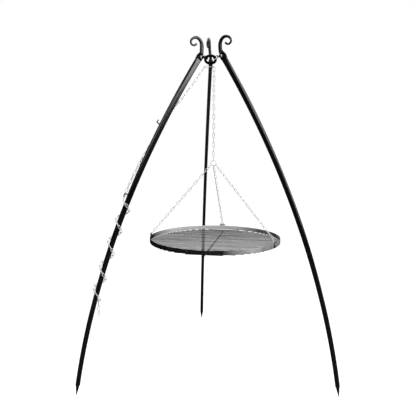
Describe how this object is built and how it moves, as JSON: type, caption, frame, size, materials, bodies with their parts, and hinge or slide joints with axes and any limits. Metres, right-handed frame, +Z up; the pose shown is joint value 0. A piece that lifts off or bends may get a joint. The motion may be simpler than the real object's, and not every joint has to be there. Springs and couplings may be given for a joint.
{
  "type": "tripod swing grill",
  "caption": "Campfire tripod with curved spiked legs, scroll hooks at the crown, and a round rimmed grate hung on chains whose height is set by a chain wound round one leg.",
  "frame": {"origin": "on the ground, below the middle of the whole outline seen from above", "axes": "+Z up; one leg stands towards +Y, the other two towards -Y on the -X and +X sides"},
  "size_m": [1.2987, 1.1398, 1.7765],
  "materials": {
    "black_steel": "glossy black coat",
    "zinc_steel": "dull zinc plating",
    "bare_steel": "bare steel, slightly dulled"
  },
  "bodies": {
    "crown": {"centre_ring": "black_steel", "chain_over_ring": "zinc_steel", "chain_runner_ring": "black_steel", "crown_link_left_inner": "black_steel", "crown_link_left_outer": "black_steel", "crown_link_rear_inner": "black_steel", "crown_link_rear_outer": "black_steel", "crown_link_right_inner": "zinc_steel", "crown_link_right_outer": "black_steel"},
    "leg_left": {"chain_hook_lower": "black_steel", "chain_hook_upper": "black_steel", "leg_chain_span": "zinc_steel", "leg_chain_wound": "zinc_steel", "leg_left_cap": "black_steel", "leg_left_eye": "black_steel", "leg_left_scroll": "black_steel", "leg_left_spike": "black_steel", "leg_left_tube": "black_steel"},
    "leg_right": {"leg_right_cap": "black_steel", "leg_right_eye": "black_steel", "leg_right_scroll": "black_steel", "leg_right_spike": "black_steel", "leg_right_tube": "black_steel"},
    "leg_rear": {"leg_rear_cap": "black_steel", "leg_rear_eye": "black_steel", "leg_rear_scroll": "black_steel", "leg_rear_spike": "black_steel", "leg_rear_tube": "black_steel"},
    "chain_top": {"chain_top_link": "zinc_steel"},
    "chain_upper": {"chain_upper": "zinc_steel"},
    "lift": {"chain_lower": "zinc_steel"},
    "grate": {"gather_ring": "zinc_steel", "grate_grid": "bare_steel", "grate_rim": "bare_steel", "lower_chain_left": "zinc_steel", "lower_chain_rear": "zinc_steel", "lower_chain_right": "zinc_steel", "rim_bail_left": "zinc_steel", "rim_bail_rear": "zinc_steel", "rim_bail_right": "zinc_steel", "rim_lug_left": "black_steel", "rim_lug_rear": "black_steel", "rim_lug_right": "black_steel"},
    "chain_tail": {"leg_chain_tail": "zinc_steel"}
  },
  "joints": [
    {"name": "leg_left_fold", "type": "hinge", "parent": "crown", "child": "leg_left", "pos_m": [-0.03289, -0.21723, 1.66144], "axis": [0.4633, -0.8862, 0], "range_deg": [0, 2.5]},
    {"name": "leg_right_fold", "type": "hinge", "parent": "crown", "child": "leg_right", "pos_m": [0.06763, -0.21833, 1.66846], "axis": [0.515, 0.8572, 0], "range_deg": [0, 2.5]},
    {"name": "leg_rear_fold", "type": "hinge", "parent": "crown", "child": "leg_rear", "pos_m": [0.0166, -0.13258, 1.65792], "axis": [-0.9983, -0.0576, 0], "range_deg": [0, 2.5]},
    {"name": "grate_swing_side", "type": "hinge", "parent": "crown", "child": "chain_top", "pos_m": [0.03339, -0.17035, 1.61837], "axis": [0, 1, 0], "range_deg": [-3, 3]},
    {"name": "grate_swing_fore", "type": "hinge", "parent": "chain_top", "child": "chain_upper", "pos_m": [0.03339, -0.17035, 1.59567], "axis": [1, 0, 0], "range_deg": [-3, 3]},
    {"name": "grate_height", "type": "slide", "parent": "chain_upper", "child": "lift", "axis": [0, 0, 1], "range_m": [-0.247, 0.0741], "deforming": ["chain_upper"]},
    {"name": "grate_turn", "type": "hinge", "parent": "lift", "child": "grate", "pos_m": [0.03339, -0.17035, 1.12], "axis": [0, 0, 1], "range_deg": [-180, 180], "deforming": ["chain_lower"]},
    {"name": "chain_tail_swing", "type": "hinge", "parent": "leg_left", "child": "chain_tail", "pos_m": [-0.53639, -0.47358, 0.45553], "axis": [0.7878, 0.6159, 0], "range_deg": [-20, 20]}
  ]
}
